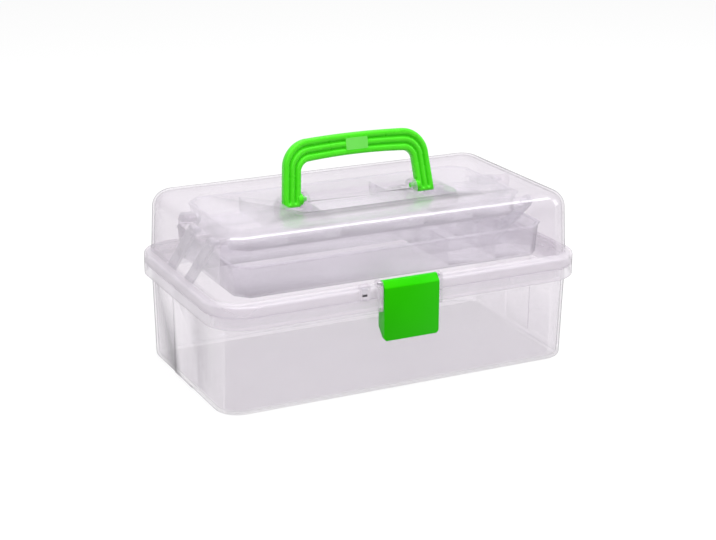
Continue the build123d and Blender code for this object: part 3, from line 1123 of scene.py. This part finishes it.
@dataclass
class Rivets:
    """The push-in rivets of the arms and links: a domed head on a round shank."""

    finishes: Finishes
    head_radius: float = 4.2 * MM
    head_high: float = 1.4 * MM
    usual_length: float = 9.5 * MM
    dome_power: float = 2.4
    dome_fall: float = 0.82
    groups: tuple[tuple[str, Body, str, float], ...] = (
        ("base_rivets", Body.BASE, "base_rivet", 2.4 * MM),
        ("lower_tray_rivets", Body.LOWER_TRAY, "lower_rivet", 2.4 * MM),
        ("upper_tray_rivets", Body.UPPER_TRAY, "upper_rivet", 2.4 * MM),
        ("lid_link_rivets", Body.LID, "link_rivet_lid", 2.1 * MM),
        ("tray_link_rivets", Body.UPPER_TRAY, "link_rivet_tray", 2.1 * MM),
    )
    head_inside: tuple[str, ...] = ("base_rivet", "link_rivet_lid")

    def heads_tree(self) -> Maker:
        """The tree that puts a domed rivet at each point.

        Returns:
            The finished tree.
        """
        maker = Maker("push_rivets")
        radius = maker.size("Head radius", self.head_radius)
        height = maker.size("Head height", self.head_high)
        shank = maker.size("Shank radius", self.groups[0][3])
        length = maker.size("Rivet length", self.usual_length)
        foot = maker.add("ShaderNodeCombineXYZ", X=height)
        line = maker.add("GeometryNodeCurvePrimitiveLine", Start=(0.0, 0.0, 0.0), End=foot.outputs[0])
        fine = maker.add("GeometryNodeResampleCurve", Curve=line.outputs[0], Count=10)
        way = maker.add("GeometryNodeSplineParameter").outputs["Factor"]
        fall = maker.maths("POWER", maker.maths("SUBTRACT", 1.0, way), self.dome_power)
        lost = maker.maths("MULTIPLY", fall, self.dome_fall)
        dome = maker.maths("SQRT", maker.maths("SUBTRACT", 1.0, lost))
        shaped = maker.add("GeometryNodeSetCurveRadius", Curve=fine.outputs[0], Radius=dome)
        ring = maker.add("GeometryNodeCurvePrimitiveCircle", Resolution=32, Radius=radius)
        head = maker.add("GeometryNodeCurveToMesh", Curve=shaped.outputs[0], Profile_Curve=ring.outputs[0])
        head.inputs["Fill Caps"].default_value = True
        if "Scale" in head.inputs:
            maker.tree.links.new(dome, head.inputs["Scale"])
        deep = maker.maths("SUBTRACT", length, maker.maths("MULTIPLY", height, 0.5))
        bar = maker.add("GeometryNodeMeshCylinder", Vertices=24, Radius=shank, Depth=deep)
        middle = maker.maths("SUBTRACT", length, maker.maths("MULTIPLY", deep, 0.5))
        shift = maker.add("ShaderNodeCombineXYZ", X=middle)
        laid = maker.add("GeometryNodeTransform", Geometry=bar.outputs[0], Translation=shift.outputs[0],
                         Rotation=(0.0, math.pi / 2, 0.0))
        whole = maker.tree.nodes.new("GeometryNodeJoinGeometry")
        for part in (head, laid):
            maker.tree.links.new(part.outputs[0], whole.inputs[0])
        turn = maker.add("GeometryNodeInputNamedAttribute", Name="turn")
        about = maker.add("ShaderNodeCombineXYZ", Z=turn.outputs["Attribute"])
        copies = maker.add("GeometryNodeInstanceOnPoints", Points=maker.start.outputs[0],
                           Instance=whole.outputs[0], Rotation=about.outputs[0])
        maker.close(copies.outputs[0], self.finishes.natural)
        return maker

    def build(self) -> None:
        """Build the rivets of each body."""
        tree = self.heads_tree()
        for name, body, start, shank in self.groups:
            nodes = [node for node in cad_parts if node.startswith(start)]
            places, turns, length = [], [], 0.0
            for node in nodes:
                low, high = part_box(node)
                length = high[0] - low[0]
                right = low[0] > 0
                at_low = right == (start in self.head_inside)
                head_x = low[0] if at_low else high[0]
                places.append(Vector((head_x, (low[1] + high[1]) / 2, (low[2] + high[2]) / 2)))
                turns.append(0.0 if at_low else math.pi)
            sizes = {
                "Head radius": self.head_radius,
                "Head height": self.head_high,
                "Shank radius": shank,
                "Rivet length": length,
            }
            piece = tree.run(name, points_mesh(name, places, turns), self.finishes.natural, sizes)
            settle(piece, body, nodes)


@dataclass
class Linkage:
    """The flat arms and links with softened edges."""

    finishes: Finishes
    edge: float = 0.35 * MM
    stems: tuple[str, ...] = ("front_arm", "rear_arm", "lid_link")

    def build(self) -> None:
        """Build every arm and link."""
        for side in Side:
            for stem in self.stems:
                node = f"{stem}_{side.name.lower()}"
                bar = refined(node, f"{node}_bar", self.finishes.natural, self.edge)
                settle(bar, Body(node), [node])


@dataclass
class Rods:
    """The steel rods of the lid hinges and the latch."""

    finishes: Finishes
    edge: float = 0.25 * MM
    nodes: tuple[tuple[str, Body], ...] = (
        ("hinge_pin_left", Body.BASE),
        ("hinge_pin_right", Body.BASE),
        ("latch_pin", Body.LID),
    )

    def build(self) -> None:
        """Build the rods with eased ends."""
        for node, body in self.nodes:
            rod = refined(node, f"{node}_rod", self.finishes.steel, self.edge)
            settle(rod, body, [node])


@dataclass(frozen=True)
class Lamp:
    """A square soft light that points at the box."""

    name: str
    place: tuple[float, float, float]
    side: float
    power: float


@dataclass
class Studio:
    """White floor, soft lights and the camera at the photograph's angle."""

    azimuth: float = math.radians(-26.45)
    elevation: float = math.radians(18.21)
    roll: float = math.radians(0.26)
    distance: float = 1.39549
    aim_right: float = -0.35 * MM
    aim_height: float = 74.43 * MM
    focal_pixels: float = 1657.28
    photo_width: float = 716.0
    sensor: float = 36.0
    clear_layers: int = 64
    air: float = 0.6
    floor_half: float = 12.0
    lamp_aim: tuple[float, float, float] = (0.0, 0.0, 0.08)
    lamps: tuple[Lamp, ...] = (
        Lamp("key_light", (-0.9, -1.1, 1.5), 1.6, 14.0),
        Lamp("top_light", (0.1, -0.1, 1.7), 1.8, 31.0),
        Lamp("side_light", (1.4, -0.6, 0.8), 1.0, 6.0),
    )

    def floor(self) -> None:
        """Lay the floor."""
        sheet = Sheet("floor_paper")
        glow = sheet.add("ShaderNodeEmission", Color=(1.0, 1.0, 1.0, 1.0), Strength=1.0)
        paper = sheet.add("ShaderNodeBsdfDiffuse", Color=(0.95, 0.95, 0.95, 1.0))
        share = sheet.spread(sheet.noise(0.8), 0.80, 0.82)
        material = sheet.finish(sheet.blend(share, paper.outputs[0], glow.outputs[0]))
        work = bmesh.new()
        bmesh.ops.create_grid(work, x_segments=8, y_segments=8, size=self.floor_half)
        mesh = bpy.data.meshes.new("floor")
        work.to_mesh(mesh)
        work.free()
        floor = new_piece("floor", mesh, material)
        floor.visible_diffuse = False

    def light(self, lamp: Lamp) -> None:
        """Hang a lamp.

        Args:
            lamp: the lamp to hang.
        """
        data = bpy.data.lights.new(lamp.name, "AREA")
        data.size = lamp.side
        data.energy = lamp.power
        holder = bpy.data.objects.new(lamp.name, data)
        bpy.context.scene.collection.objects.link(holder)
        place = Vector(lamp.place)
        holder.location = place
        holder.rotation_euler = (Vector(self.lamp_aim) - place).to_track_quat("-Z", "Y").to_euler()

    def camera(self) -> None:
        """Set the camera."""
        ca, sa = math.cos(self.azimuth), math.sin(self.azimuth)
        ce, se = math.cos(self.elevation), math.sin(self.elevation)
        back = Vector((sa * ce, -ca * ce, se))
        right = Vector((ca, sa, 0))
        up = back.cross(right)
        rolled_right = right * math.cos(self.roll) + up * math.sin(self.roll)
        rolled_up = up * math.cos(self.roll) - right * math.sin(self.roll)
        aim = right * self.aim_right + Vector((0, 0, self.aim_height))
        lens = bpy.data.cameras.new("photo_camera")
        lens.sensor_width = self.sensor
        lens.sensor_fit = "HORIZONTAL"
        lens.lens = self.focal_pixels / self.photo_width * self.sensor
        lens.clip_start = 0.01
        holder = bpy.data.objects.new("photo_camera", lens)
        bpy.context.scene.collection.objects.link(holder)
        turn = Matrix((rolled_right, rolled_up, back)).transposed().to_4x4()
        holder.matrix_world = Matrix.Translation(aim + back * self.distance) @ turn
        bpy.context.scene.camera = holder

    def build(self) -> None:
        """Set up the studio."""
        self.floor()
        world = bpy.data.worlds.new("studio_air")
        world.use_nodes = True
        background = world.node_tree.nodes["Background"]
        background.inputs["Color"].default_value = (1.0, 1.0, 1.0, 1.0)
        background.inputs["Strength"].default_value = self.air
        bpy.context.scene.world = world
        for lamp in self.lamps:
            self.light(lamp)
        bpy.context.scene.cycles.transparent_max_bounces = self.clear_layers
        bpy.context.scene.view_settings.view_transform = "Standard"
        self.camera()


def main() -> None:
    """Build the whole box in order."""
    logging.basicConfig(level=logging.INFO, format="%(message)s")
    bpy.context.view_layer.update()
    finishes = Finishes.make()
    makers: list[Callable[[], None]] = [
        Shells(finishes).build,
        Trays(finishes).build,
        Handle(finishes).build,
        Latch(finishes).build,
        Linkage(finishes).build,
        Rivets(finishes).build,
        Rods(finishes).build,
        Studio().build,
    ]
    for make in makers:
        make()


if __name__ == "__main__":
    main()
